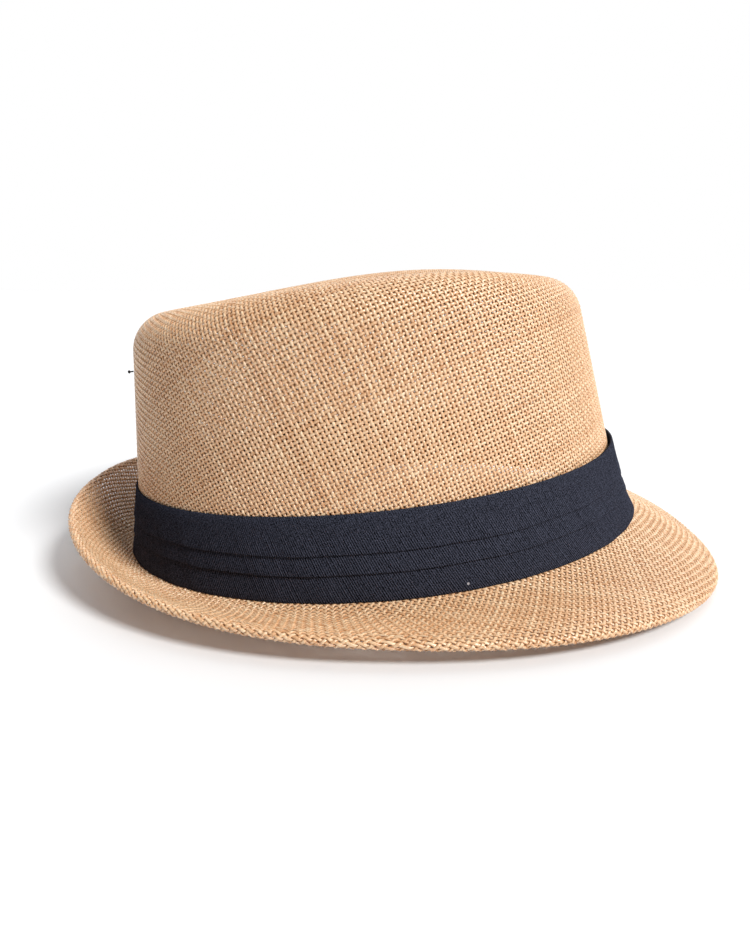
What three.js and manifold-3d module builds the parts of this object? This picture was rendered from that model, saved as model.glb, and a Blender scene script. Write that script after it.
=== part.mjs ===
// A short-brim woven straw trilby hat with a pleated cloth band, standing on a table.
//
// Units are millimetres. +Z is up, the front of the hat faces -Y and the wearer's right faces -X. The origin is
// on the table, under the middle of the hat. The turned-down front of the brim and the back of the crown's foot
// carry the hat, so its head plane is tipped back by PITCH.
//
// Shapes are first worked out in head coordinates: "forward" runs to the front, "aside" to the wearer's right and
// "up" away from the head plane, all from the middle of the head oval. stand() then tips them onto the table.
// "inset" is a distance inwards from the outer face of the crown's wall.

import * as THREE from "three";
import { mergeVertices } from "three/addons/utils/BufferGeometryUtils.js";
import Module from "manifold-3d";

const wasm = await Module();
wasm.setup();

const degrees = Math.PI / 180;
const TURN = 2 * Math.PI;
const STATIONS = 56; // steps round the hat

// Driving dimensions
const HEAD = { front: 102, back: 102, side: 87 }; // the crown's outer face at the head plane, from its middle
const LEAN = { front: 9.5 * degrees, back: 8.2 * degrees, side: 3 * degrees }; // the wall leans inwards
const FLARE = { front: 3.5, back: 2.3, side: 0.2, height: 25 }; // the wall's extra spread towards its foot
const CREST = { middle: 98.1, slope: 1.5, bow: -3.1, twist: -1.1, step: 50 }; // height of the crown's rim
const SHOULDER = { reach: 12.5, rise: 12.5 }; // rounding between the wall and the rim
const DENT_DEPTH = 15; // centre dent of the crown's top
const FOOT = { front: -1, side: -0.6, back: 2.2 }; // height of the crown's foot above the head plane
const PITCH = 5.7 * degrees;
const EDGE = { front: 131.8, back: 120.6, side: 118, roundness: 2.27 }; // plan of the brim's edge
const EDGE_HEIGHT = { front: 1.2, side: 7.2, back: 23.2, wave: -1.7 }; // middle of the hem above the table
const BRIM_START = { front: -24 * degrees, side: -16 * degrees, back: -2 * degrees }; // slope at the crown
const BRIM_END = { front: -30 * degrees, side: -2 * degrees, back: 64 * degrees }; // slope at the hem
const CLOTH = 0.7; // woven straw cloth
const HEM_RADIUS = 1.45;
const CORD_RADIUS = 0.42;
const PRESS = 0.25; // how much the table flattens the straw where the hat stands
const GAP = 0.3; // clearance between pieces that touch
const COLLAR_HEIGHT = 9; // the brim's upstand inside the crown
const BAND_TOP = 28.4; // height of the band's upper edge above the head plane
const BAND_FOLDS = { upper: 0.555, lower: 0.325 }; // edges of its two folds, as shares of its height
const BAND_JOIN = { middle: 290 * degrees, half: 4.2 * degrees }; // the band's ends meet on the wearer's left
const SWEATBAND = { height: 29, thickness: 0.9 };
const PATCH_THICKNESS = 0.4; // cloth of the pieces sewn to the sweatband
const THREAD_RADIUS = 0.25;

const headMiddle = (EDGE.front - EDGE.back) / 2; // puts the origin under the middle of the brim
const standHeight = HEAD.back * Math.sin(PITCH) - FOOT.back + CLOTH - PRESS;

const STRAW = { color: 0xd9b183, roughness: 0.62, metalness: 0 };
const BAND_CLOTH = { color: 0x1b1c26, roughness: 0.85, metalness: 0 };
const BAND_THREAD = { color: 0x14141b, roughness: 0.8, metalness: 0 };
const STRAW_THREAD = { color: 0xdcb98c, roughness: 0.7, metalness: 0 };
const INNER_CLOTH = { color: 0x22222b, roughness: 0.9, metalness: 0 };
const LABEL_CLOTH = { color: 0xece8df, roughness: 0.8, metalness: 0 };
const STEEL_WIRE = { color: 0x9a9a9a, roughness: 0.35, metalness: 0.9 };
const BLACK_PLASTIC = { color: 0x16161a, roughness: 0.4, metalness: 0 };

// A value that is given at the front, side and back of the hat, at an angle round it (0 is the front).
function around({ front, side, back }, angle) {
  const mean = (front + back + 2 * side) / 4;
  const lengthwise = (front - back) / 2;
  const crosswise = (front + back - 2 * side) / 4;
  return mean + lengthwise * Math.cos(angle) + crosswise * Math.cos(2 * angle);
}

// Head coordinates to the table's coordinates.
function stand(forward, aside, up) {
  const level = forward * Math.cos(PITCH) - up * Math.sin(PITCH);
  const height = forward * Math.sin(PITCH) + up * Math.cos(PITCH) + standHeight;
  return new THREE.Vector3(-aside, headMiddle - level, height);
}

// Distance from the head's middle to the wall at the front, back or side, at a height.
function wallReach(where, up) {
  const spread = up < FLARE.height ? (1 - up / FLARE.height) ** 2 : 0;
  return HEAD[where] - FLARE[where] * (1 - spread) - up * Math.tan(LEAN[where]);
}

// A point of the crown's wall, in head coordinates.
function wallAt(angle, up, inset = 0) {
  const front = wallReach("front", up);
  const back = wallReach("back", up);
  return {
    forward: (front - back) / 2 + ((front + back) / 2 - inset) * Math.cos(angle),
    aside: (wallReach("side", up) - inset) * Math.sin(angle),
    up,
  };
}

function wallPoint(angle, up, inset = 0) {
  const at = wallAt(angle, up, inset);
  return stand(at.forward, at.aside, at.up);
}

const footHeight = (angle) => around(FOOT, angle);

function crestHeight(forward) {
  const step = forward / CREST.step;
  return CREST.middle + CREST.slope * step + CREST.bow * step ** 2 + CREST.twist * step ** 3;
}

// Height of the rim of the crown's top at an angle round the hat.
function rimHeight(angle) {
  return crestHeight(wallAt(angle, CREST.middle, SHOULDER.reach).forward);
}

// Closes a grid of points, one row for each station, into a BufferGeometry with its faces outwards.
// A row is a closed loop of points. Rows join end to start when looped. Otherwise each end row is capped, with
// its first point opposite its last.
function sweep(rows, looped) {
  const count = rows[0].length;
  const positions = rows.flat().flatMap((point) => [point.x, point.y, point.z]);
  const faces = [];
  const lastRow = looped ? rows.length : rows.length - 1;
  for (let i = 0; i < lastRow; i++) {
    const here = i * count;
    const next = ((i + 1) % rows.length) * count;
    for (let j = 0; j < count; j++) {
      const k = (j + 1) % count;
      faces.push([here + j, next + j, next + k], [here + j, next + k, here + k]);
    }
  }
  if (!looped) {
    const end = (rows.length - 1) * count;
    for (let j = 0; j < count / 2 - 1; j++) {
      const k = count - 1 - j;
      faces.push([j, j + 1, k - 1], [j, k - 1, k]);
      faces.push([end + j, end + k - 1, end + j + 1], [end + j, end + k, end + k - 1]);
    }
  }
  return outwards(positions, faces);
}

function outwards(positions, faces) {
  const at = (i) => new THREE.Vector3(...positions.slice(3 * i, 3 * i + 3));
  let volume = 0;
  for (const [a, b, c] of faces) {
    volume += at(a).dot(at(b).cross(at(c)));
  }
  const turned = volume < 0 ? faces.map(([a, b, c]) => [a, c, b]) : faces;
  const geometry = new THREE.BufferGeometry();
  geometry.setAttribute("position", new THREE.Float32BufferAttribute(positions, 3));
  geometry.setIndex(turned.flat());
  geometry.computeVertexNormals();
  return geometry;
}

// A piece that runs all the way round the hat: section(angle) gives its closed outline there.
function hoop(section, steps = STATIONS) {
  const rows = Array.from({ length: steps }, (_, i) => section((i / steps) * TURN));
  return sweep(rows, true);
}

// A piece that covers only the angles from start to end.
function arc(section, start, end, steps) {
  const rows = Array.from({ length: steps + 1 }, (_, i) => section(start + ((end - start) * i) / steps));
  return sweep(rows, false);
}

// Outline along the wall, from [inset, height] pairs.
const outline = (angle, corners) => corners.map(([inset, up]) => wallPoint(angle, up, inset));

// Outline of a strip that follows the wall's curve between two insets, from a bottom to a top height.
function strip(angle, near, far, bottom, top) {
  const longestStep = 5;
  const steps = Math.ceil((top - bottom) / longestStep);
  const heights = Array.from({ length: steps + 1 }, (_, i) => bottom + ((top - bottom) * i) / steps);
  const rising = heights.map((up) => [near, up]);
  const falling = heights.reverse().map((up) => [far, up]);
  return outline(angle, [...rising, ...falling]);
}

// Outline of a thread round the wall: a small diamond about a point at an inset and a height.
function threadSection(angle, inset, up, radius) {
  return outline(angle, [
    [inset - radius, up],
    [inset, up + radius],
    [inset + radius, up],
    [inset, up - radius],
  ]);
}

function toSolid(geometry) {
  const bare = geometry.clone();
  bare.deleteAttribute("normal");
  bare.deleteAttribute("uv");
  const merged = mergeVertices(bare, 1e-4);
  const vertProperties = new Float32Array(merged.attributes.position.array);
  const triVerts = new Uint32Array(merged.index.array);
  return new wasm.Manifold(new wasm.Mesh({ numProp: 3, vertProperties, triVerts }));
}

function toGeometry(solid) {
  const mesh = solid.getMesh();
  const geometry = new THREE.BufferGeometry();
  geometry.setAttribute("position", new THREE.BufferAttribute(new Float32Array(mesh.vertProperties), 3));
  geometry.setIndex(new THREE.BufferAttribute(new Uint32Array(mesh.triVerts), 1));
  geometry.computeVertexNormals();
  return geometry;
}

// Flattens a piece where it stands on the table.
function pressFlat(geometry) {
  const size = 400;
  const table = new THREE.BoxGeometry(size, size, size);
  table.translate(0, 0, -size / 2);
  return toGeometry(toSolid(geometry).subtract(toSolid(table)));
}

function named(name, geometry, look) {
  const mesh = new THREE.Mesh(geometry, new THREE.MeshStandardMaterial(look));
  mesh.name = name;
  return mesh;
}

// Crown: a dome with an outer and an inner face, joined round its foot.
function crownFace(angle, depth) {
  const wallRings = 7;
  const shoulderRings = 5;
  const foot = footHeight(angle) + GAP;
  const rim = rimHeight(angle);
  const wallTop = rim - SHOULDER.rise;
  const points = [];
  for (let i = 0; i <= wallRings; i++) {
    points.push(wallPoint(angle, foot + ((wallTop - foot) * i) / wallRings, depth));
  }
  for (let i = 1; i <= shoulderRings; i++) {
    const bend = (i / shoulderRings) * 90 * degrees;
    const up = wallTop + (SHOULDER.rise - depth) * Math.sin(bend);
    const inset = depth + (SHOULDER.reach - depth) * (1 - Math.cos(bend));
    points.push(wallPoint(angle, up, inset));
  }
  return points;
}

// A point of the crown's top, at a share of the way from its middle to the rim.
function topPoint(angle, share, depth) {
  const front = wallReach("front", CREST.middle) - SHOULDER.reach;
  const back = wallReach("back", CREST.middle) - SHOULDER.reach;
  const side = wallReach("side", CREST.middle) - SHOULDER.reach;
  const lengthwise = share * Math.cos(angle);
  const forward = (front - back) / 2 + ((front + back) / 2) * lengthwise;
  const openness = 1 - lengthwise ** 2;
  const across = Math.min(1, (share * Math.abs(Math.sin(angle))) / Math.sqrt(openness));
  const crease = ((1 + Math.cos(Math.PI * across)) / 2) ** 1.2;
  const dent = DENT_DEPTH * openness ** 0.8 * crease;
  return stand(forward, side * share * Math.sin(angle), crestHeight(forward) - dent - depth);
}

function crownBody() {
  const topShares = [0.84, 0.66, 0.47, 0.28, 0.12];
  const rows = [];
  for (let i = 0; i < STATIONS; i++) {
    const angle = (i / STATIONS) * TURN;
    const outer = [...crownFace(angle, 0), ...topShares.map((share) => topPoint(angle, share, 0))];
    const inner = [...crownFace(angle, CLOTH), ...topShares.map((share) => topPoint(angle, share, CLOTH))];
    rows.push([...outer.reverse(), ...inner]);
  }
  const count = rows[0].length;
  const positions = rows.flat().flatMap((point) => [point.x, point.y, point.z]);
  const topOut = rows.length * count;
  const topIn = topOut + 1;
  positions.push(...topPoint(0, 0, 0).toArray(), ...topPoint(0, 0, CLOTH).toArray());
  const faces = [];
  for (let i = 0; i < STATIONS; i++) {
    const here = i * count;
    const next = ((i + 1) % STATIONS) * count;
    for (let j = 0; j < count - 1; j++) {
      faces.push([here + j, next + j, next + j + 1], [here + j, next + j + 1, here + j + 1]);
    }
    faces.push([topOut, next, here], [topIn, here + count - 1, next + count - 1]);
  }
  return outwards(positions, faces);
}

// Middle of the rolled hem at an angle round the brim, in the table's coordinates.
function hemMiddle(angle) {
  const power = 2 / EDGE.roundness;
  const along = Math.sign(Math.cos(angle)) * Math.abs(Math.cos(angle)) ** power;
  const out = Math.sign(Math.sin(angle)) * Math.abs(Math.sin(angle)) ** power;
  const length = (EDGE.front + EDGE.back) / 2 - HEM_RADIUS;
  const wave = EDGE_HEIGHT.wave * (Math.cos(3 * angle) - Math.cos(angle));
  return new THREE.Vector3(
    -(EDGE.side - HEM_RADIUS) * out,
    -length * along,
    around(EDGE_HEIGHT, angle) + wave,
  );
}

// The brim's cross-section stands upright on the line from the crown's foot to the hem. along and up are
// measured in it from the foot.
function brimFrame(angle) {
  const foot = wallPoint(angle, footHeight(angle));
  const hem = hemMiddle(angle);
  const level = new THREE.Vector3(hem.x - foot.x, hem.y - foot.y, 0);
  const reach = level.length();
  const out = level.divideScalar(reach);
  const point = (along, up) => new THREE.Vector3(foot.x + out.x * along, foot.y + out.y * along, foot.z + up);
  return { point, reach, rise: hem.z - foot.z };
}

// The brim's upper face as a Bezier curve in its cross-section.
function brimCurve(angle, reach, rise) {
  const start = around(BRIM_START, angle);
  const end = around(BRIM_END, angle);
  const lastAlong = reach - HEM_RADIUS * Math.sin(end);
  const lastUp = rise + HEM_RADIUS * Math.cos(end);
  const span = Math.hypot(lastAlong, lastUp);
  return new THREE.CubicBezierCurve(
    new THREE.Vector2(0, 0),
    new THREE.Vector2(0.38 * span * Math.cos(start), 0.38 * span * Math.sin(start)),
    new THREE.Vector2(lastAlong - 0.34 * span * Math.cos(end), lastUp - 0.34 * span * Math.sin(end)),
    new THREE.Vector2(lastAlong, lastUp),
  );
}

// Outline of the brim: collar, sheet and the hem rolled round the wire.
function brimSection(angle) {
  const sheetSteps = 7;
  const rollSteps = 8;
  const roll = 250 * degrees;
  const { point, reach, rise } = brimFrame(angle);
  const curve = brimCurve(angle, reach, rise);
  const end = around(BRIM_END, angle);
  const upper = [];
  const lower = [];
  for (let i = 0; i <= sheetSteps; i++) {
    const share = i / sheetSteps;
    const at = curve.getPoint(share);
    const slope = curve.getTangent(share);
    upper.push(point(at.x, at.y));
    lower.push(point(at.x + slope.y * CLOTH, at.y - slope.x * CLOTH));
  }
  const outerRoll = [];
  const innerRoll = [];
  for (let i = 1; i <= rollSteps; i++) {
    const bearing = end + 90 * degrees - (roll * i) / rollSteps;
    const inner = HEM_RADIUS - CLOTH;
    outerRoll.push(point(reach + HEM_RADIUS * Math.cos(bearing), rise + HEM_RADIUS * Math.sin(bearing)));
    innerRoll.push(point(reach + inner * Math.cos(bearing), rise + inner * Math.sin(bearing)));
  }
  const foot = footHeight(angle);
  const collarOut = CLOTH + GAP;
  const collarIn = collarOut + CLOTH;
  return [
    ...upper,
    ...outerRoll,
    ...innerRoll.reverse(),
    ...lower.reverse(),
    wallPoint(angle, foot - CLOTH, collarIn),
    ...strip(angle, collarIn, collarOut, foot, foot + COLLAR_HEIGHT),
  ];
}

function edgeWire() {
  const sides = 6;
  return hoop((angle) => {
    const { point, reach, rise } = brimFrame(angle);
    return Array.from({ length: sides }, (_, i) => {
      const bearing = (i / sides) * TURN;
      return point(reach + CORD_RADIUS * Math.cos(bearing), rise + CORD_RADIUS * Math.sin(bearing));
    });
  });
}

// The thread that closes the hem lies on the brim's upper face, just inside the roll.
function hemStitching() {
  const share = 0.93;
  return hoop((angle) => {
    const { point, reach, rise } = brimFrame(angle);
    const curve = brimCurve(angle, reach, rise);
    const at = curve.getPoint(share);
    const slope = curve.getTangent(share);
    const lift = GAP + THREAD_RADIUS;
    const along = at.x - slope.y * lift;
    const up = at.y + slope.x * lift;
    return [
      point(along + THREAD_RADIUS, up),
      point(along, up + THREAD_RADIUS),
      point(along - THREAD_RADIUS, up),
      point(along, up - THREAD_RADIUS),
    ];
  });
}

// The pleated band: each fold laps over the next one down. It stands a little off the crown at the front.
const bandStandoff = (angle) => around({ front: 1.2, side: 0, back: 0 }, angle);
const bandBottom = (angle) => footHeight(angle) + 0.5;

function bandSection(angle) {
  const bottom = bandBottom(angle);
  const top = BAND_TOP;
  const upperFold = bottom + (top - bottom) * BAND_FOLDS.upper;
  const lowerFold = bottom + (top - bottom) * BAND_FOLDS.lower;
  const off = bandStandoff(angle);
  const middle = (top + upperFold) / 2;
  return outline(angle, [
    [-GAP - off, top],
    [-1.1 - off, top - 0.3],
    [-1.5 - off * 0.75, middle],
    [-1.9 - off / 2, upperFold],
    [-1.3, upperFold - 0.1],
    [-1.8, lowerFold],
    [-1.25, lowerFold - 0.1],
    [-1.55, bottom + 0.8],
    [-1.1, bottom],
    [-GAP, bottom],
    [-GAP, lowerFold],
    [-GAP, upperFold],
    [-GAP, middle],
  ]);
}

// The short loop of band cloth that hides the band's join.
function bandJoinLoop() {
  const section = (angle) => strip(angle, -2.3, -2.9, bandBottom(angle) + 0.4, BAND_TOP + 0.6);
  return arc(section, BAND_JOIN.middle - BAND_JOIN.half, BAND_JOIN.middle + BAND_JOIN.half, 4);
}

// A short upright stitch on the band.
function bandTack(angle) {
  const half = 0.22 * degrees;
  const length = 2.2;
  const section = (at) => strip(at, -2.1, -2.5, bandBottom(at) + 2, bandBottom(at) + 2 + length);
  return arc(section, angle - half, angle + half, 1);
}

// Pieces inside the head opening, each a strip beyond the brim's collar.
const collarFace = 2 * CLOTH + GAP; // inset of the collar's inner face
const sweatbandOuter = collarFace + GAP;
const sweatbandInner = sweatbandOuter + SWEATBAND.thickness;

function sweatbandSection(angle) {
  const bottom = footHeight(angle) - 0.2;
  return strip(angle, sweatbandOuter, sweatbandInner, bottom, bottom + SWEATBAND.height);
}

// A patch on the sweatband's inner face, above its row of stitches.
function innerPatch(middle, half, height) {
  const face = sweatbandInner + GAP;
  const section = (angle) => {
    const low = footHeight(angle) + 3.5;
    return strip(angle, face, face + PATCH_THICKNESS, low, low + height);
  };
  return arc(section, middle - half, middle + half, 3);
}

function sweatbandStitching() {
  return hoop((angle) => threadSection(angle, sweatbandInner + 0.6, footHeight(angle) + 2, THREAD_RADIUS));
}

// The seam that joins the collar to the crown runs along the collar's upper edge.
function jointStitching() {
  const inset = CLOTH + GAP + CLOTH / 2;
  return hoop((angle) => threadSection(angle, inset, footHeight(angle) + COLLAR_HEIGHT + 0.8, THREAD_RADIUS));
}

// What is left of a hang tag's plastic barb: a fine stem and a small knob on the back of the crown.
function tagBarb() {
  const up = 72.6;
  const angle = 163 * degrees;
  const profile = [
    [0, 0],
    [0.28, 0],
    [0.28, 1.1],
    [0.62, 1.35],
    [0.66, 1.75],
    [0.35, 2.05],
    [0, 2.1],
  ].map(([radius, along]) => new THREE.Vector2(radius, along));
  const barb = new THREE.LatheGeometry(profile, 10);
  const foot = wallPoint(angle, up, -GAP);
  const outward = wallPoint(angle, up, -2).sub(foot).normalize();
  barb.applyQuaternion(new THREE.Quaternion().setFromUnitVectors(new THREE.Vector3(0, 1, 0), outward));
  barb.translate(foot.x, foot.y, foot.z);
  return toGeometry(toSolid(barb));
}

const crown = new THREE.Group();
crown.add(named("crown_body", crownBody(), STRAW));
crown.add(named("tag_barb", tagBarb(), BLACK_PLASTIC));

const brim = new THREE.Group();
brim.add(named("brim_body", pressFlat(hoop(brimSection)), STRAW));
brim.add(named("brim_edge_wire", edgeWire(), STEEL_WIRE));
brim.add(named("hem_stitching", hemStitching(), STRAW_THREAD));

const band = new THREE.Group();
band.add(named("hat_band", hoop(bandSection), BAND_CLOTH));
band.add(named("band_join_loop", bandJoinLoop(), BAND_CLOTH));
band.add(named("band_tack_front", bandTack(0), BAND_THREAD));
band.add(named("band_tack_back", bandTack(Math.PI), BAND_THREAD));

const inside = new THREE.Group();
inside.add(named("sweatband", hoop(sweatbandSection), INNER_CLOTH));
inside.add(named("sweatband_stitching", sweatbandStitching(), STRAW_THREAD));
inside.add(named("joint_stitching", jointStitching(), STRAW_THREAD));
inside.add(named("sweatband_join_tape", innerPatch(180 * degrees, 3 * degrees, 23), INNER_CLOTH));
inside.add(named("inside_label", innerPatch(160 * degrees, 6 * degrees, 18), LABEL_CLOTH));

const hat = new THREE.Group();
hat.add(crown, brim, band, inside);

export default hat;
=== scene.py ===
"""A woven straw trilby with a pleated cloth band, standing on a table.

The hat's surfaces are worked out with the same dimensions as its CAD solids, in millimetres, and the straw
is then laid on them strand by strand. mesh() turns millimetres into metres.
"""

import math

import bpy
import numpy as np
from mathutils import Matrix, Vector


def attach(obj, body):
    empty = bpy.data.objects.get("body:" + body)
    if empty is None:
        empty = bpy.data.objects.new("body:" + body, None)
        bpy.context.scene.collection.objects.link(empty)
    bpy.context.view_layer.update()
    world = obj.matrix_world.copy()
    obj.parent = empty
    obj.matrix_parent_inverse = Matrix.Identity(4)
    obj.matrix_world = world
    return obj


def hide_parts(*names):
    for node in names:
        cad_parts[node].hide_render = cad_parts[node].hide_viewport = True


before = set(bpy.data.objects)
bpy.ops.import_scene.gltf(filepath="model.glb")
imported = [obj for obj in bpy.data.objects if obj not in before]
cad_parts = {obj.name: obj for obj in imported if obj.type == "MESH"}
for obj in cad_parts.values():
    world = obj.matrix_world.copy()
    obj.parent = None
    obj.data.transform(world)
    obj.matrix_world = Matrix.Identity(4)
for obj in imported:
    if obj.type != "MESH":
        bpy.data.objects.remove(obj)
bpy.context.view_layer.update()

MM = 0.001
TURN = 2 * math.pi
STATIONS = 720  # places round the hat where its surfaces are worked out
FINE = 0.5  # and the distance between places along a profile
EVEN_HEIGHT = 45  # the height on the wall where places are spread evenly round the hat

# Dimensions of the hat, as in its CAD solids
HEAD = {"front": 102, "back": 102, "side": 87}
LEAN = {"front": 9.5, "back": 8.2, "side": 3}
FLARE = {"front": 3.5, "back": 2.3, "side": 0.2}
FLARE_HEIGHT = 25
CREST = {"middle": 98.1, "slope": 1.5, "bow": -3.1, "twist": -1.1, "step": 50}
SHOULDER = 12.5
DENT_DEPTH = 15
FOOT = (-1, -0.6, 2.2)
PITCH = math.radians(5.7)
EDGE = {"front": 131.8, "back": 120.6, "side": 118, "roundness": 2.27}
EDGE_HEIGHT = (1.2, 7.2, 23.2)
EDGE_WAVE = -1.7
BRIM_START = (-24, -16, -2)
BRIM_END = (-30, -2, 64)
CLOTH = 0.7
HEM_RADIUS = 1.45
PRESS = 0.25
COLLAR_HEIGHT = 9
BAND_TOP = 28.4
BAND_FOLDS = (0.555, 0.325)
BAND_JOIN = math.radians(290)  # the band's ends meet on the wearer's left
SWEATBAND_HEIGHT = 29
SWEATBAND_FACE = 2.9  # inset of its inner face
HEAD_MIDDLE = (EDGE["front"] - EDGE["back"]) / 2
STAND_HEIGHT = HEAD["back"] * math.sin(PITCH) - FOOT[2] + CLOTH - PRESS

# The straw
STRAW_PITCH = 1.5
BRIM_PITCH = 1.64  # blocking pulls the brim's weave wider
BRIM_FULLNESS = 1.1  # length round the brim's flat cloth at its inner edge, over that of the wall
QUARTER = 0.25  # share of a turn by which a flat cloth's weave turns on its way round the hat
SEAM = -0.31  # the turn of the cloth's seam, at the back on the wearer's left
CROWN_GRAIN, BRIM_GRAIN = 20, 53  # slant of the weave at the wearer's right, in degrees
STRAND_WIDTH = 1.07
STRAND_THICKNESS = 0.6
STRAND_WAVE = 0.27
STRAND_SIDES = 6
NEAR_CAP = np.array([[3, 2, 1, 0], [0, 5, 4, 3]])  # the two quads that close a six-sided strand's start
FAR_CAP = NEAR_CAP[:, ::-1]
EDGE_PAINTED_SHADE = 0.45  # the strands' side edges are painted darker than their faces: painted shade where they meet their neighbours, partly also the paper's darker creases
SAME_PLACE = 0.02  # a strand's cut end further off than this has jumped over the cloth's seam


def around(values, angle):
    """A value given at the hat's front, side and back, at an angle round it."""
    front, side, back = values
    mean = (front + back + 2 * side) / 4
    return mean + (front - back) / 2 * np.cos(angle) + (front + back - 2 * side) / 4 * np.cos(2 * angle)


def stand(forward, aside, up):
    """Head coordinates to the table's."""
    level = forward * math.cos(PITCH) - up * math.sin(PITCH)
    height = forward * math.sin(PITCH) + up * math.cos(PITCH) + STAND_HEIGHT
    return np.stack(np.broadcast_arrays(-aside, HEAD_MIDDLE - level, height), axis=-1)


def wall_reach(where, up):
    spread = np.where(up < FLARE_HEIGHT, (1 - np.minimum(up, FLARE_HEIGHT) / FLARE_HEIGHT) ** 2, 0)
    return HEAD[where] - FLARE[where] * (1 - spread) - up * math.tan(math.radians(LEAN[where]))


def wall_at(angle, up, inset=0):
    front, back = wall_reach("front", up), wall_reach("back", up)
    forward = (front - back) / 2 + ((front + back) / 2 - inset) * np.cos(angle)
    return forward, (wall_reach("side", up) - inset) * np.sin(angle)


def wall_point(angle, up, inset=0):
    return stand(*wall_at(angle, up, inset), up)


def foot_height(angle):
    return around(FOOT, angle)


def crest_height(forward):
    step = forward / CREST["step"]
    return CREST["middle"] + CREST["slope"] * step + CREST["bow"] * step**2 + CREST["twist"] * step**3


def rim_height(angle):
    return crest_height(wall_at(angle, np.float64(CREST["middle"]), SHOULDER)[0])


def top_sizes():
    up = np.float64(CREST["middle"])
    return [wall_reach(where, up) - SHOULDER for where in ("front", "back", "side")]


def top_height(forward, aside):
    """Height of the crown's dented top over a point of the head plane."""
    front, back, side = top_sizes()
    lengthwise = np.clip((forward - (front - back) / 2) / ((front + back) / 2), -0.9999, 0.9999)
    openness = 1 - lengthwise**2
    across = np.minimum(1, np.abs(aside) / side / np.sqrt(openness))
    crease = ((1 + np.cos(math.pi * across)) / 2) ** 1.2
    return crest_height(forward) - DENT_DEPTH * openness**0.8 * crease


def crown_profile(angle):
    """Profiles of the crown's outer face, from its foot to the rim. Shape: angles, points, 3."""
    foot = foot_height(angle) + 0.3
    rim = rim_height(angle)
    share = np.linspace(0, 1, 60)
    up = foot[:, None] + (rim - SHOULDER - foot)[:, None] * share
    wall = wall_point(angle[:, None], up)
    bend = np.linspace(0, math.pi / 2, 16)[1:]
    up = (rim - SHOULDER)[:, None] + SHOULDER * np.sin(bend)
    shoulder = wall_point(angle[:, None], up, SHOULDER * (1 - np.cos(bend)))
    return np.concatenate([wall, shoulder], axis=1), 0


def hem_middle(angle):
    power = 2 / EDGE["roundness"]
    along = np.sign(np.cos(angle)) * np.abs(np.cos(angle)) ** power
    out = np.sign(np.sin(angle)) * np.abs(np.sin(angle)) ** power
    length = (EDGE["front"] + EDGE["back"]) / 2 - HEM_RADIUS
    up = around(EDGE_HEIGHT, angle) + EDGE_WAVE * (np.cos(3 * angle) - np.cos(angle))
    return np.stack([-(EDGE["side"] - HEM_RADIUS) * out, -length * along, up], axis=-1)


def brim_profile(angle, roll=250):
    """Profiles of the brim's upper face, from the top of its collar out to the end of its hem's roll."""
    foot = wall_point(angle, foot_height(angle))
    hem = hem_middle(angle)
    level = (hem - foot) * [1, 1, 0]
    reach = np.linalg.norm(level, axis=1)
    out = level / reach[:, None]
    rise = (hem - foot)[:, 2]
    start, end = np.radians(around(BRIM_START, angle)), np.radians(around(BRIM_END, angle))
    last = np.stack([reach - HEM_RADIUS * np.sin(end), rise + HEM_RADIUS * np.cos(end)], axis=-1)
    span = np.linalg.norm(last, axis=1)[:, None]
    first_pull = 0.38 * span * np.stack([np.cos(start), np.sin(start)], axis=-1)
    last_pull = last - 0.34 * span * np.stack([np.cos(end), np.sin(end)], axis=-1)
    t = np.linspace(0, 1, 60)[:, None]
    sheet = (
        3 * (1 - t) ** 2 * t * first_pull[:, None]
        + 3 * (1 - t) * t**2 * last_pull[:, None]
        + t**3 * last[:, None]
    )
    bearing = end[:, None] + math.radians(90) - math.radians(roll) * np.linspace(0, 1, 30)[1:]
    rolled = np.stack(
        [reach[:, None] + HEM_RADIUS * np.cos(bearing), rise[:, None] + HEM_RADIUS * np.sin(bearing)],
        axis=-1,
    )
    flat = np.concatenate([sheet, rolled], axis=1)
    across = foot[:, None] + out[:, None] * flat[..., :1] + np.array([0, 0, 1]) * flat[..., 1:]
    up = foot_height(angle)[:, None] + np.linspace(COLLAR_HEIGHT, 0.4, 12)
    collar = wall_point(angle[:, None], up, 2 * CLOTH)
    return np.concatenate([collar, across], axis=1), 12


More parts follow.
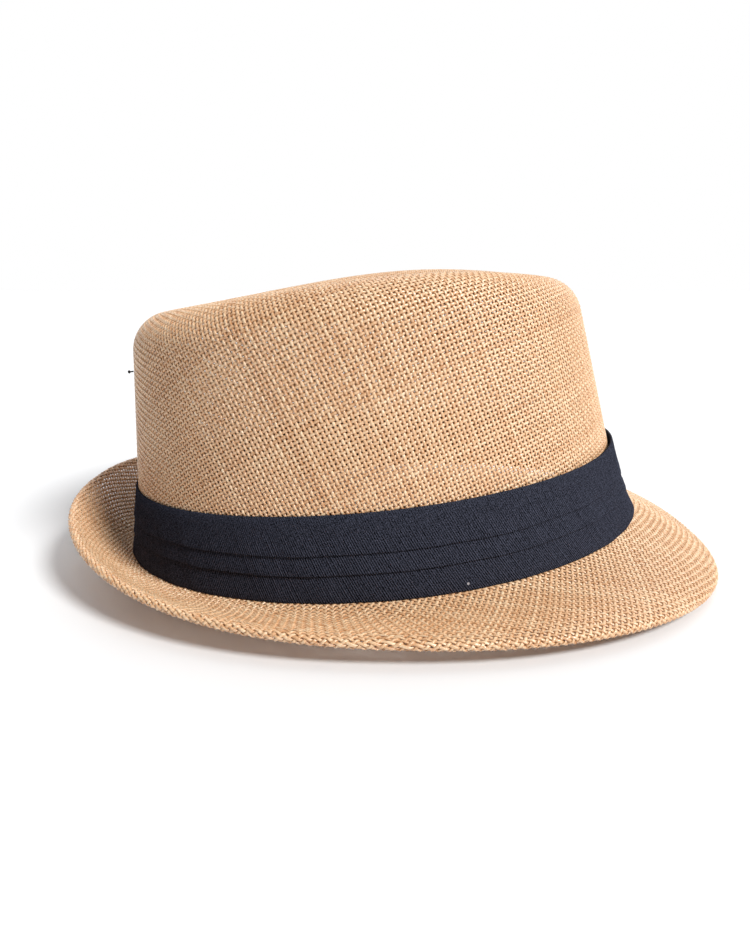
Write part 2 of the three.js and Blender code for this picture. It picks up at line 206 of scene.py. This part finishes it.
class Surface:
    """A surface of profiles round the hat, on an even grid of turn and distance. The turn goes from 0 to 1
    by length round the hat, and the distance is along the profile from its zero point."""

    def __init__(self, profile, outward):
        angle = np.linspace(0, TURN, 4 * STATIONS + 1)
        line = wall_point(angle, np.float64(EVEN_HEIGHT))
        steps = np.linalg.norm(np.diff(line, axis=0), axis=1)
        along = np.concatenate([[0], np.cumsum(steps)])
        self.round = along[-1]
        self.angles = np.interp(np.arange(STATIONS) / STATIONS, along / along[-1], angle)
        points, zero = profile(self.angles)
        steps = np.linalg.norm(np.diff(points, axis=1), axis=2)
        length = np.concatenate([np.zeros((STATIONS, 1)), np.cumsum(steps, axis=1)], axis=1)
        length -= length[:, zero : zero + 1]
        self.low, self.high = length[:, 0], length[:, -1]
        self.start = math.floor(self.low.min())
        count = int((math.ceil(self.high.max()) - self.start) / FINE) + 1
        at = self.start + FINE * np.arange(count)
        grid = [[np.interp(at, length[i], points[i, :, k]) for k in range(3)] for i in range(STATIONS)]
        self.points = np.array(grid).transpose(0, 2, 1)
        # Past a profile's end the grid runs straight on, so that slopes stay whole there.
        for i in range(STATIONS):
            for over, edge, inner in ((at > self.high[i], -1, -2), (at < self.low[i], 0, 1)):
                away = points[i, edge] - points[i, inner]
                away /= np.linalg.norm(away)
                far = np.abs(at[over] - length[i, edge])
                self.points[i, over] = points[i, edge] + far[:, None] * away
        turned = np.concatenate([self.points[-1:], self.points, self.points[:1]])
        normal = np.cross(np.gradient(turned, axis=0)[1:-1], np.gradient(self.points, axis=1))
        self.normals = outward * normal / np.linalg.norm(normal, axis=2, keepdims=True)

    def look_up(self, table, turn, along):
        """Values of a table on the grid at turns and distances."""
        i = (turn % 1) * STATIONS
        j = np.clip((along - self.start) / FINE, 0, self.points.shape[1] - 1.001)
        i0, j0 = np.floor(i).astype(int), np.floor(j).astype(int)
        a, b = (i - i0)[:, None], (j - j0)[:, None]
        i0, i1 = i0 % STATIONS, (i0 + 1) % STATIONS
        near = table[i0, j0] * (1 - a) + table[i1, j0] * a
        far = table[i0, j0 + 1] * (1 - a) + table[i1, j0 + 1] * a
        return near * (1 - b) + far * b

    def ends(self, turn):
        """Distances at which the profiles start and end."""
        i = np.arange(STATIONS + 1) / STATIONS
        low = np.interp(turn % 1, i, np.append(self.low, self.low[0]))
        high = np.interp(turn % 1, i, np.append(self.high, self.high[0]))
        return low, high

    def at(self, turn, along, depth):
        """Points at a depth under the surface, and its normals."""
        normal = self.look_up(self.normals, turn, along)
        normal /= np.linalg.norm(normal, axis=1, keepdims=True)
        return self.look_up(self.points, turn, along) - depth * normal, normal


class Ring:
    """A flat sheet of cloth bent into a ring, like a cone's. Its weave turns by a sector of a turn on the
    way round, so that a quarter joins up with itself."""

    def __init__(self, surface, sector, radius, sign, seam, turn_at, grain_at):
        self.surface = surface
        self.sector = sector
        self.radius = radius
        self.sign = sign
        self.seam = seam
        self.turn_at = turn_at
        self.grain_at = math.radians(grain_at)

    def place(self, x, y):
        """Turn, distance along the profile, and how far inside the cloth, of points of the flat sheet."""
        middle = self.grain_at + TURN * self.sector * (self.seam + 0.5 - self.turn_at)
        bearing = np.arctan2(y, x)
        bearing = (bearing - middle + math.pi) % TURN - math.pi + middle
        turn = self.turn_at + (bearing - self.grain_at) / (TURN * self.sector)
        along = self.sign * (np.hypot(x, y) - self.radius)
        low, high = self.surface.ends(turn)
        sides = np.minimum(turn - self.seam, self.seam + 1 - turn) * self.surface.round
        return turn, along, np.minimum(sides, np.minimum(along - low, high - along))

    def on(self, turn_along, depth):
        return self.surface.at(turn_along[:, 0], turn_along[:, 1], depth)


def runs_of(inside):
    """Start and end of each run of true values."""
    edges = np.diff(np.concatenate([[0], inside.astype(int), [0]]))
    return zip(np.where(edges == 1)[0], np.where(edges == -1)[0])


def lay_strands(place, reach, family, random, pitch=STRAW_PITCH):
    """Strands of one family of a plain weave, clipped to the cloth's outline. Each row of a strand is its
    place on the surface and its height in the weave, from -1 to 1."""
    half_steps = int(reach / pitch * 2) + 2
    t = np.arange(-half_steps, half_steps + 1) * pitch / 2
    found = []
    for index in range(-half_steps // 2, half_steps // 2 + 1):
        phase, size = random.uniform(0, TURN), random.uniform(0.02, 0.07)
        line = (index + 0.5) * pitch + size * np.sin(t / random.uniform(14, 40) + phase)
        x, y = (line, t) if family == 0 else (t, line)
        turn, along, inside = place(x, y)
        sign = (1 if index % 2 == 0 else -1) * (1 if family == 0 else -1)
        wave = sign * np.sin(math.pi * t / pitch)
        for start, end in runs_of(inside > 0):
            rows = [np.stack([turn[start:end], along[start:end], wave[start:end]], axis=1)]
            for last, beyond in ((start, start - 1), (end - 1, end)):
                if not 0 <= beyond < len(t):
                    continue
                share = inside[last] / (inside[last] - inside[beyond])
                x_end, y_end, t_end = (v[last] + share * (v[beyond] - v[last]) for v in (x, y, t))
                end_turn, end_along, _ = place(np.array([x_end]), np.array([y_end]))
                if abs(end_turn[0] - turn[last]) < SAME_PLACE:
                    end_wave = sign * math.sin(math.pi * t_end / pitch)
                    row = np.array([[end_turn[0], end_along[0], end_wave]])
                    rows = [row, *rows] if beyond < last else [*rows, row]
            strand = np.concatenate(rows)
            if len(strand) > 3:
                found.append(strand)
    return found


def weave(name, strands, on, random, pitch):
    """Flattened strands with six-sided sections, as one mesh."""
    corners, faces, tones_and_edge_shade, at = [], [], [], 0
    sides = STRAND_SIDES
    bearing = TURN * np.arange(sides) / sides
    # the corners at the strands' side edges, which get painted shade
    crease = np.abs(np.cos(bearing)) > 0.9
    for strand in strands:
        centre, normal = on(strand[:, :2], CLOTH / 2)
        centre = centre + STRAND_WAVE * strand[:, 2:3] * normal
        along = np.gradient(centre, axis=0)
        along /= np.linalg.norm(along, axis=1, keepdims=True) + 1e-9
        side = np.cross(along, normal)
        side /= np.linalg.norm(side, axis=1, keepdims=True) + 1e-9
        up = np.cross(side, along)
        n = len(strand)
        swell = random.uniform(0.9, 1.08) + random.normal(0, 0.04, n)
        across = (STRAND_WIDTH / 2 * pitch / STRAW_PITCH * swell)[:, None] * np.cos(bearing)
        through = STRAND_THICKNESS / 2 * np.sin(bearing)
        ring = centre[:, None] + across[..., None] * side[:, None] + through[:, None] * up[:, None]
        corners.append(ring.reshape(-1, 3))
        here = at + sides * np.arange(n - 1)[:, None]
        faces += [quads_round(here, here + sides, sides), at + NEAR_CAP, at + sides * (n - 1) + FAR_CAP]
        tone = np.clip(random.normal(0.55, 0.1), 0.35, 0.75)
        # each strand's own tone, less painted shade at its side edges
        tones_and_edge_shade.append(np.tile(tone - EDGE_PAINTED_SHADE * crease, n))
        at += sides * n
    points = np.concatenate(corners)
    points[:, 2] = np.maximum(points[:, 2], 0)  # the table presses the straw flat
    piece = mesh(name, points, np.concatenate(faces))
    mark(piece, "tone", np.concatenate(tones_and_edge_shade))
    return piece


def quads_round(here, there, sides):
    """Quads between rings of corners. here and there are the first corners of each pair of rings."""
    k = np.arange(sides)
    beside = (k + 1) % sides
    faces = np.broadcast_arrays(here + k, here + beside, there + beside, there + k)
    return np.stack(faces, axis=-1).reshape(-1, 4)


def mark(piece, name, values):
    """A value for each point of a piece, for its material to read."""
    layer = piece.data.attributes.new(name, "FLOAT", "POINT")
    layer.data.foreach_set("value", np.ravel(values).astype(np.float32))


def mesh(name, points, faces):
    """A smooth-shaded mesh piece from points in millimetres and equal-sided faces."""
    points, faces = np.asarray(points, np.float32) * MM, np.asarray(faces, np.int32)
    data = bpy.data.meshes.new(name)
    data.vertices.add(len(points))
    data.vertices.foreach_set("co", points.ravel())
    sides = faces.shape[1]
    data.loops.add(faces.size)
    data.loops.foreach_set("vertex_index", faces.ravel())
    data.polygons.add(len(faces))
    data.polygons.foreach_set("loop_start", np.arange(0, faces.size, sides, dtype=np.int32))
    data.polygons.foreach_set("use_smooth", np.ones(len(faces), bool))
    data.update(calc_edges=True)
    piece = bpy.data.objects.new(name, data)
    bpy.context.collection.objects.link(piece)
    return piece


def finish_piece(piece, look, node):
    piece.data.materials.append(look)
    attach(piece, "root")
    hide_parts(node)


def hoop(name, section):
    """A closed piece round the hat from its sections. Shape: angles, points, 3."""
    rows, count = section.shape[:2]
    i = np.arange(rows)[:, None]
    return mesh(name, section.reshape(-1, 3), quads_round(i * count, (i + 1) % rows * count, count))


# Materials

def material(name):
    look = bpy.data.materials.new(name)
    look.use_nodes = True
    nodes = look.node_tree.nodes
    return look, nodes, look.node_tree.links, nodes["Principled BSDF"]


def noise(nodes, links, scale, detail, place):
    node = nodes.new("ShaderNodeTexNoise")
    node.inputs["Scale"].default_value = scale
    node.inputs["Detail"].default_value = detail
    links.new(place, node.inputs["Vector"])
    return node.outputs["Fac"]


def place_of(nodes):
    return nodes.new("ShaderNodeTexCoord").outputs["Object"]


def ramp(nodes, links, value, stops):
    node = nodes.new("ShaderNodeValToRGB")
    elements = node.color_ramp.elements
    while len(elements) < len(stops):
        elements.new(0.5)
    for element, (position, colour) in zip(elements, stops):
        element.position = position
        element.color = (*colour, 1)
    links.new(value, node.inputs["Fac"])
    return node.outputs["Color"]


def maths(nodes, links, kind, a, b):
    node = nodes.new("ShaderNodeMath")
    node.operation = kind
    for socket, value in zip(node.inputs, (a, b)):
        if isinstance(value, (int, float)):
            socket.default_value = value
        else:
            links.new(value, socket)
    return node.outputs[0]


def attribute(nodes, name):
    node = nodes.new("ShaderNodeAttribute")
    node.attribute_name = name
    return node.outputs["Fac"]


def blend(nodes, links, share, first, second):
    """A linked colour mixed with a fixed one."""
    mix = nodes.new("ShaderNodeMix")
    mix.data_type = "RGBA"
    links.new(share, mix.inputs["Factor"])
    links.new(first, mix.inputs["A"])
    mix.inputs["B"].default_value = (*second, 1)
    return mix.outputs["Result"]


def roughen(nodes, links, shader, height, strength, distance):
    bump = nodes.new("ShaderNodeBump")
    bump.inputs["Strength"].default_value = strength
    bump.inputs["Distance"].default_value = distance
    links.new(height, bump.inputs["Height"])
    links.new(bump.outputs["Normal"], shader.inputs["Normal"])


def straw_look():
    """Twisted paper straw: each strand has its own tone, with painted shade along its side edges, fibres
    and a slight gloss.
    """
    look, nodes, links, shader = material("woven_straw")
    place = place_of(nodes)
    patches = noise(nodes, links, 1100, 3, place)
    broad = noise(nodes, links, 45, 2, place)
    # the tone attribute holds each strand's own tone with painted shade at its side edges
    tone = maths(nodes, links, "MULTIPLY", attribute(nodes, "tone"), 0.45)
    mixed = maths(nodes, links, "ADD", tone, -0.02)
    mixed = maths(nodes, links, "ADD", mixed, maths(nodes, links, "MULTIPLY", patches, 0.55))
    mixed = maths(nodes, links, "ADD", mixed, maths(nodes, links, "MULTIPLY", broad, 0.06))
    stops = [(0.25, (0.50, 0.21, 0.07)), (0.5, (0.80, 0.49, 0.27)), (0.75, (0.97, 0.76, 0.51))]
    colour = ramp(nodes, links, mixed, stops)
    links.new(colour, shader.inputs["Base Color"])
    gloss = maths(nodes, links, "ADD", maths(nodes, links, "MULTIPLY", patches, 0.3), 0.12)
    links.new(gloss, shader.inputs["Roughness"])
    shader.inputs["Specular IOR Level"].default_value = 0.9
    roughen(nodes, links, shader, noise(nodes, links, 5000, 2, place), 0.5, 0.0001)
    glow = nodes.new("ShaderNodeBsdfTranslucent")
    links.new(colour, glow.inputs["Color"])
    mix = nodes.new("ShaderNodeMixShader")
    mix.inputs["Fac"].default_value = 0.05
    links.new(shader.outputs[0], mix.inputs[1])
    links.new(glow.outputs[0], mix.inputs[2])
    links.new(mix.outputs[0], nodes["Material Output"].inputs["Surface"])
    return look


def band_look():
    """Dark dull ribbed cloth with a speckled grain and a few bits of lint, its rib tops painted lighter
    and the hollows between them painted darker, as painted light and shade.
    """
    look, nodes, links, shader = material("band_cloth")
    place = place_of(nodes)
    grain = noise(nodes, links, 4200, 2, place)
    # rib tops painted lighter and rib hollows darker: painted light and shade on the ribs
    rib = maths(nodes, links, "MULTIPLY", attribute(nodes, "rib"), 0.3)
    grain_and_rib_shade = maths(nodes, links, "ADD", grain, rib)
    stops = [(0.54, (0.0005, 0.0005, 0.001)), (0.86, (0.076, 0.081, 0.115))]
    colour = ramp(nodes, links, grain_and_rib_shade, stops)
    specks = nodes.new("ShaderNodeTexVoronoi")
    specks.inputs["Scale"].default_value = 95
    links.new(place, specks.inputs["Vector"])
    near = maths(nodes, links, "LESS_THAN", specks.outputs["Distance"], 0.05)
    chosen = nodes.new("ShaderNodeSeparateColor")
    links.new(specks.outputs["Color"], chosen.inputs[0])
    rare = maths(nodes, links, "GREATER_THAN", chosen.outputs[0], 0.9)
    lint = maths(nodes, links, "MULTIPLY", near, rare)
    links.new(blend(nodes, links, lint, colour, (0.35, 0.34, 0.36)), shader.inputs["Base Color"])
    gloss = maths(nodes, links, "ADD", maths(nodes, links, "MULTIPLY", grain, -0.3), 0.65)
    links.new(gloss, shader.inputs["Roughness"])
    shader.inputs["Specular IOR Level"].default_value = 0.0
    roughen(nodes, links, shader, grain, 0.6, 0.0001)
    return look


def plain_look(name, dark, light, roughness, scale=2500, metal=0.0):
    """A finish with fine mottling between two colours."""
    look, nodes, links, shader = material(name)
    place = place_of(nodes)
    fine = noise(nodes, links, scale, 3, place)
    links.new(ramp(nodes, links, fine, [(0.35, dark), (0.65, light)]), shader.inputs["Base Color"])
    shader.inputs["Roughness"].default_value = roughness
    shader.inputs["Metallic"].default_value = metal
    roughen(nodes, links, shader, fine, 0.3, 0.00005)
    return look


# Pieces

def crown_pieces(look):
    random = np.random.default_rng(3)
    surface = Surface(crown_profile, -1)
    radius = surface.round / (TURN * QUARTER) + EVEN_HEIGHT
    ring = Ring(surface, QUARTER, radius, -1, seam=SEAM, turn_at=0.25, grain_at=CROWN_GRAIN)
    for family, word in enumerate(("level", "upright")):
        strands = lay_strands(ring.place, radius + 2, family, random)
        share_out(f"crown_{word}_strands", strands, 4, ring.on, random, look, "crown_body")


def share_out(name, strands, parts, on, random, look, node, pitch=STRAW_PITCH):
    """Strands as several pieces, each of about the same size."""
    sizes = np.cumsum([len(strand) for strand in strands])
    for part in range(parts):
        start, end = part / parts, (part + 1) / parts
        some = [strand for strand, size in zip(strands, sizes) if start < size / sizes[-1] <= end]
        piece = weave(f"{name}_{part + 1}", some, on, random, pitch)
        finish_piece(piece, look, node)


def crown_top_pieces(look):
    random = np.random.default_rng(5)
    front, back, side = top_sizes()
    middle, half = (front - back) / 2, (front + back) / 2
    overlap = 0.7  # how far the top's cloth laps over the wall's
    grain = math.radians(CROWN_GRAIN)
    c, s = math.cos(grain), math.sin(grain)

    def place(x, y):
        forward, aside = c * x - s * y + middle, s * x + c * y
        size = np.hypot((forward - middle) / half, aside / side)
        return forward, aside, (1 - size) * side + overlap

    def on(flat, depth):
        forward, aside = flat[:, 0], flat[:, 1]
        small = 0.5
        centre = stand(forward, aside, top_height(forward, aside))
        ahead = stand(forward + small, aside, top_height(forward + small, aside)) - centre
        beside = stand(forward, aside + small, top_height(forward, aside + small)) - centre
        normal = np.cross(beside, ahead)
        normal *= np.sign(normal[:, 2:3])
        normal /= np.linalg.norm(normal, axis=1, keepdims=True)
        return centre - depth * normal, normal

    for family, word in enumerate(("long", "cross")):
        strands = lay_strands(place, half + 4, family, random)
        share_out(f"crown_top_{word}_strands", strands, 1, on, random, look, "crown_body")


def brim_pieces(look):
    random = np.random.default_rng(7)
    surface = Surface(brim_profile, 1)
    radius = surface.round * BRIM_FULLNESS / (TURN * QUARTER)
    ring = Ring(surface, QUARTER, radius, 1, seam=SEAM, turn_at=0.25, grain_at=BRIM_GRAIN)
    for family, word in enumerate(("first", "second")):
        strands = lay_strands(ring.place, radius + 50, family, random, BRIM_PITCH)
        name = f"brim_{word}_strands"
        share_out(name, strands, 3, ring.on, random, look, "brim_body", BRIM_PITCH)


def band_bottom(angle):
    """Height of the band's lower edge, which lies on the slope of the brim."""
    return foot_height(angle) + around((-0.3, -0.2, 0.1), angle)


def band_sections(angle):
    """The pleated band's outline at each angle, as distances out from the wall and heights up it. Each of
    its three faces leans out to a folded edge that faces down."""
    bottom = band_bottom(angle)
    upper = bottom + (BAND_TOP - bottom) * BAND_FOLDS[0]
    lower = bottom + (BAND_TOP - bottom) * BAND_FOLDS[1]
    off = around((1.2, 0, 0), angle)
    sway = 0.12 * np.sin(9 * angle + 1) + 0.1 * np.sin(17 * angle)
    upper, lower = upper + sway, lower + 0.8 * sway
    outline = []

    def add(out, up):
        outline.append(np.stack(np.broadcast_arrays(out, up), axis=-1) + 0 * angle[:, None])

    add(0.3 + off * 0.9, BAND_TOP - 0.15)
    add(0.65 + off, BAND_TOP + 0.08)
    add(1.0 + off, BAND_TOP - 0.2)
    for share in (0.2, 0.4, 0.6, 0.8):
        add(1.1 + 0.85 * share + off * (1 - share / 2), BAND_TOP + (upper - BAND_TOP) * share)
    for top, edge, out, lean in ((upper, lower, 1.95, 0.5), (lower, bottom, 1.85, 0)):
        edge_off = off * 0.5 if lean else off * 0.25
        add(out + edge_off + 0.02, top + 0.45)
        add(out + edge_off, top + 0.12)
        add(out + edge_off - 0.2, top - 0.02)
        add(out + edge_off - 0.42, top + 0.1)
        add(out + edge_off - 0.58, top + 0.35)
        add(out + edge_off - 0.6, top - 0.1)
        for share in (0.2, 0.45, 0.7):
            grow = 0.55 * share if lean else 0.35 * share
            add(out - 0.56 + edge_off * (1 - share) + grow, top + (edge - top) * share)
    add(1.55, bottom + 0.7)
    add(1.35, bottom + 0.2)
    add(1.0, bottom)
    add(0.4, bottom + 0.35)
    for share in (0.15, 0.6):
        add(0.3, bottom + (BAND_TOP - bottom) * share)
    return np.stack(outline, axis=1)


def hat_band(look):
    """The band cloth. Its ribs slant back as they rise, so the columns of its mesh slant with them."""
    random = np.random.default_rng(11)
    ribs, steps = 760, 4
    angle = np.linspace(0, TURN, ribs * steps, endpoint=False)
    outline = band_sections(angle)
    out, up = outline[..., 0], outline[..., 1]
    size = np.repeat(random.uniform(0.5, 1.3, ribs), steps)[:, None]
    rib = size * np.sin(TURN * (np.arange(ribs * steps) + 0.5) / steps)[:, None]
    waves = 0.12 * np.sin(23 * angle + 2) * np.sin(7 * angle) + 0.06 * np.sin(41 * angle)
    hang = np.clip((BAND_TOP - up) / 8, 0, 1)
    depth = 0.05 * np.clip((BAND_TOP - up) / 10, 0.4, 1)
    out = out + np.where(out > 0.6, depth * rib + waves[:, None] * hang, 0)
    slant = math.tan(math.radians(20)) / HEAD["side"]
    section = wall_point(angle[:, None] + slant * up, up, -out)
    piece = hoop("hat_band_cloth", section)
    # rib heights, which the band's cloth paints as light on the rib tops and shade in the hollows
    mark(piece, "rib", 0.5 + 0.5 * rib * depth / 0.05)
    finish_piece(piece, look, "hat_band")


def slab(name, angles, section):
    """A strip of cloth between two angles. section(angles) goes up one face and down the other, so its
    points pair up across the cloth and close its two ends."""
    rows = section(angles)
    count = rows.shape[1]
    here = np.arange(len(angles) - 1)[:, None] * count
    k = np.arange(count // 2 - 1)
    last = (len(angles) - 1) * count
    near = np.stack([k, count - 1 - k, count - 2 - k, k + 1], axis=-1)
    far = np.stack([k, k + 1, count - 2 - k, count - 1 - k], axis=-1) + last
    faces = np.concatenate([quads_round(here, here + count, count), near, far])
    return mesh(name, rows.reshape(-1, 3), faces)


def patch(name, middle, half, low, high, inset, thickness, look, node):
    """A hemmed patch of cloth on the wall, its inset measured to the middle of the cloth."""
    angles = middle + half * np.linspace(-1, 1, 40)
    share = np.linspace(0, 1, 30)

    def section(angle):
        across = (angle - middle)[:, None] / half
        bottom, top = low(angle)[:, None], high(angle)[:, None]
        edge = np.maximum(np.abs(across), np.abs(2 * share - 1))
        hem = 1 + 0.35 * (edge > 0.86) * (edge < 0.97)
        thin = np.where(edge > 0.985, 0.45, hem) * thickness / 2
        weave_wave = 0.03 * np.sin(60 * across) * np.sin(40 * share)
        up = bottom + (top - bottom) * share + 0.08 * np.sin(5 * across)
        front = wall_point(angle[:, None], up, inset + thin + weave_wave)
        back = wall_point(angle[:, None], up, inset - thin + weave_wave)
        return np.concatenate([back, front[:, ::-1]], axis=1)

    piece = slab(name, angles, section)
    # alternate columns marked as rib tops and hollows, which the band's cloth paints as light and shade
    mark(piece, "rib", np.repeat(np.arange(len(angles)) % 2, 2 * len(share)))
    finish_piece(piece, look, node)


def threads(name, centre, normal, radius):
    """Short round threads as one mesh. Shape of centre and normal: threads, steps, 3."""
    along = np.gradient(centre, axis=1)
    along /= np.linalg.norm(along, axis=2, keepdims=True)
    side = np.cross(along, normal)
    side /= np.linalg.norm(side, axis=2, keepdims=True)
    up = np.cross(side, along)
    count, steps = centre.shape[:2]
    sides = STRAND_SIDES
    bearing = TURN * np.arange(sides) / sides
    ring = np.cos(bearing)[:, None] * side[:, :, None] + np.sin(bearing)[:, None] * up[:, :, None]
    points = centre[:, :, None] + radius[None, :, None, None] * ring
    start = np.arange(count)[:, None, None] * steps * sides
    here = start + np.arange(steps - 1)[None, :, None] * sides
    caps = start + np.concatenate([NEAR_CAP, (steps - 1) * sides + FAR_CAP])
    faces = np.concatenate([quads_round(here, here + sides, sides), caps.reshape(-1, 4)])
    return mesh(name, points.reshape(-1, 3), faces)


def stitches(name, at, count, share, radius, look, node):
    """A row of separate stitches, which dip into the cloth at their ends. at(turn) gives points on the
    cloth and its normals."""
    where = np.linspace(-1, 1, 7)
    turn = (np.arange(count)[:, None] + 0.5 * share * where) / count
    centre, normal = at(turn.ravel())
    centre, normal = centre.reshape(count, -1, 3), normal.reshape(count, -1, 3)
    centre = centre + (radius * (0.9 - 1.7 * where**4))[None, :, None] * normal
    piece = threads(name, centre, normal, radius * (1 - 0.45 * where**6))
    finish_piece(piece, look, node)


def wall_stitch(angle, up, inset):
    """Points and inward normals on the wall, for rows of stitches inside the hat."""
    point = wall_point(angle, up, inset)
    inward = wall_point(angle, up, inset + 1) - point
    return point, inward / np.linalg.norm(inward, axis=1, keepdims=True)


def thread_pieces(straw_thread, black_thread):
    brim = Surface(brim_profile, 1)
    roll = math.radians(250) * HEM_RADIUS

    def hem(turn):
        return brim.at(turn, brim.ends(turn)[1] - roll - 3, 0.05)

    stitches("hem_stitches", hem, 270, 0.72, 0.17, straw_thread, "hem_stitching")

    def inner(turn):
        angle = TURN * turn
        return wall_stitch(angle, foot_height(angle) + 2, SWEATBAND_FACE - 0.1)

    stitches("sweatband_stitches", inner, 190, 0.7, 0.2, straw_thread, "sweatband_stitching")

    def joint(turn):
        angle = TURN * turn
        return wall_stitch(angle, foot_height(angle) + COLLAR_HEIGHT - 1.5, 2 * CLOTH)

    stitches("joint_stitches", joint, 190, 0.75, 0.2, straw_thread, "joint_stitching")
    for name, angle in (("band_tack_front", 0), ("band_tack_back", math.pi)):
        tack(name, angle, black_thread)


def tack(name, angle, look):
    """A few short strands of thread over the band's lower fold, side by side."""
    where = np.linspace(-1, 1, 8)
    centres, normals = [], []
    for strand in range(4):
        aside = angle + (strand - 1.5) * 0.0021 + 0 * where
        up = band_bottom(aside) + 3 + 1.1 * where + 0.08 * strand
        centre = wall_point(aside, up, -(2.1 + 0.3 * (1 - where**4)))
        side = wall_point(aside + 0.001, up, -2.1) - wall_point(aside, up, -2.1)
        centres.append(centre)
        normals.append(np.cross(side, np.gradient(centre, axis=0)))
    piece = threads(f"{name}_threads", np.array(centres), np.array(normals), 0.11 + 0 * where)
    finish_piece(piece, look, name)


def small_cloths(band_cloth, inner_cloth, label_cloth):
    def band_low(angle):
        return band_bottom(angle) + 0.2

    def band_high(angle):
        return 0 * angle + BAND_TOP + 0.5

    patch(
        "band_loop", BAND_JOIN, math.radians(4.2), band_low, band_high, -2.65, 0.5,
        band_cloth, "band_join_loop",
    )

    def inner_low(angle):
        return foot_height(angle) + 3.5

    for name, middle, half, height, look, slot, node in (
        ("join_tape", 180, 3, 23, inner_cloth, "sweatband_cloth", "sweatband_join_tape"),
        ("blank_label", 160, 6, 18, label_cloth, "label_cloth", "inside_label"),
    ):
        def inner_high(angle, height=height):
            return inner_low(angle) + height

        patch(
            name, math.radians(middle), math.radians(half), inner_low, inner_high,
            SWEATBAND_FACE + 0.5, 0.35, look, node,
        )


def sweatband(look):
    """The inner band, with slight ripples in its face."""
    angle = np.linspace(0, TURN, 900, endpoint=False)
    inner = 2 * CLOTH + 0.6
    ups = np.linspace(-0.2, SWEATBAND_HEIGHT - 0.2, 20)
    ripple = 0.12 * np.sin(31 * angle)[:, None] * np.sin(np.linspace(0, math.pi, 20))
    up = foot_height(angle)[:, None] + ups
    face = wall_point(angle[:, None], up[:, ::-1], inner + 0.75 + ripple[:, ::-1])
    back = wall_point(angle[:, None], up, inner + 0.1)
    piece = hoop("sweatband_cloth", np.concatenate([back, face], axis=1))
    finish_piece(piece, look, "sweatband")


def refinish(node, look):
    """A better finish for a solid that is kept from the CAD."""
    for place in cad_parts[node].material_slots:
        place.material = look


def stage():
    """A pale table top, wide enough to fill the view."""
    size = 3
    corners = [(x * size, y * size, 0) for x, y in ((-1, -1), (1, -1), (1, 1), (-1, 1))]
    data = bpy.data.meshes.new("table_top")
    data.from_pydata(corners, [], [(0, 1, 2, 3)])
    floor = bpy.data.objects.new("table_top", data)
    bpy.context.collection.objects.link(floor)
    look, _, _, shader = material("table_white")
    shader.inputs["Base Color"].default_value = (0.86, 0.86, 0.87, 1)
    shader.inputs["Roughness"].default_value = 0.6
    data.materials.append(look)


def studio():
    """A studio with a white backdrop on every side, whose light is strong only from beyond the hat."""
    world = bpy.data.worlds.new("soft_studio")
    world.use_nodes = True
    nodes, links = world.node_tree.nodes, world.node_tree.links
    where = nodes.new("ShaderNodeSeparateXYZ")
    links.new(nodes.new("ShaderNodeTexCoord").outputs["Generated"], where.inputs[0])
    backdrop = maths(nodes, links, "MULTIPLY", where.outputs["X"], 2.2)
    frontal = maths(nodes, links, "MULTIPLY", where.outputs["Y"], -0.5)
    slanted = maths(nodes, links, "ADD", backdrop, frontal)
    total = maths(nodes, links, "ADD", slanted, 0.5)
    colour = ramp(nodes, links, total, [(0.0, (0.13, 0.14, 0.16)), (1.0, (1.0, 1.0, 1.0))])
    seen = nodes.new("ShaderNodeLightPath").outputs["Is Camera Ray"]
    background = nodes["Background"]
    links.new(blend(nodes, links, seen, colour, (1, 1, 1)), background.inputs["Color"])
    background.inputs["Strength"].default_value = 1.0
    scene = bpy.context.scene
    scene.world = world
    scene.view_settings.view_transform = "Standard"


def soft_light(name, place, breadth, power):
    """A broad far light that comes from the side of place, breadth in degrees."""
    data = bpy.data.lights.new(name, "SUN")
    data.angle = math.radians(breadth)
    data.energy = power
    data.color = (0.99, 1.0, 0.99)
    lamp = bpy.data.objects.new(name, data)
    lamp.location = place
    aim(lamp, (0, 0, 0))
    bpy.context.collection.objects.link(lamp)


def aim(thing, target):
    away = np.array(target) - np.array(thing.location)
    thing.rotation_euler = Vector(away).to_track_quat("-Z", "Y").to_euler()


def camera():
    """A near view of the wearer's right side, from a little above."""
    data = bpy.data.cameras.new("camera")
    data.sensor_width = 36
    data.sensor_fit = "HORIZONTAL"
    data.lens = 37.7
    view = bpy.data.objects.new("camera", data)
    view.location = (-0.3183, 0.0011, 0.1113)
    aim(view, (0, 0.0076, 0.0254))
    bpy.context.collection.objects.link(view)
    bpy.context.scene.camera = view


straw = straw_look()
crown_pieces(straw)
crown_top_pieces(straw)
brim_pieces(straw)
band_cloth = band_look()
hat_band(band_cloth)
inner_cloth = plain_look("sweatband_cloth", (0.01, 0.01, 0.014), (0.025, 0.025, 0.033), 0.9)
sweatband(inner_cloth)
label_cloth = plain_look("label_cloth", (0.70, 0.67, 0.60), (0.84, 0.81, 0.75), 0.8)
small_cloths(band_cloth, inner_cloth, label_cloth)
straw_thread = plain_look("straw_thread", (0.62, 0.42, 0.25), (0.84, 0.63, 0.42), 0.6)
black_thread = plain_look("band_thread", (0.004, 0.004, 0.007), (0.02, 0.02, 0.03), 0.6)
thread_pieces(straw_thread, black_thread)
wire_metal = plain_look("edge_wire", (0.35, 0.34, 0.33), (0.55, 0.54, 0.52), 0.35, 900, metal=1.0)
refinish("brim_edge_wire", wire_metal)
barb_plastic = plain_look("barb_plastic", (0.01, 0.01, 0.012), (0.03, 0.03, 0.034), 0.4, 1500)
refinish("tag_barb", barb_plastic)
stage()
studio()
soft_light("key", (-0.95, -1.15, 1.4), 18, 3.5)
camera()
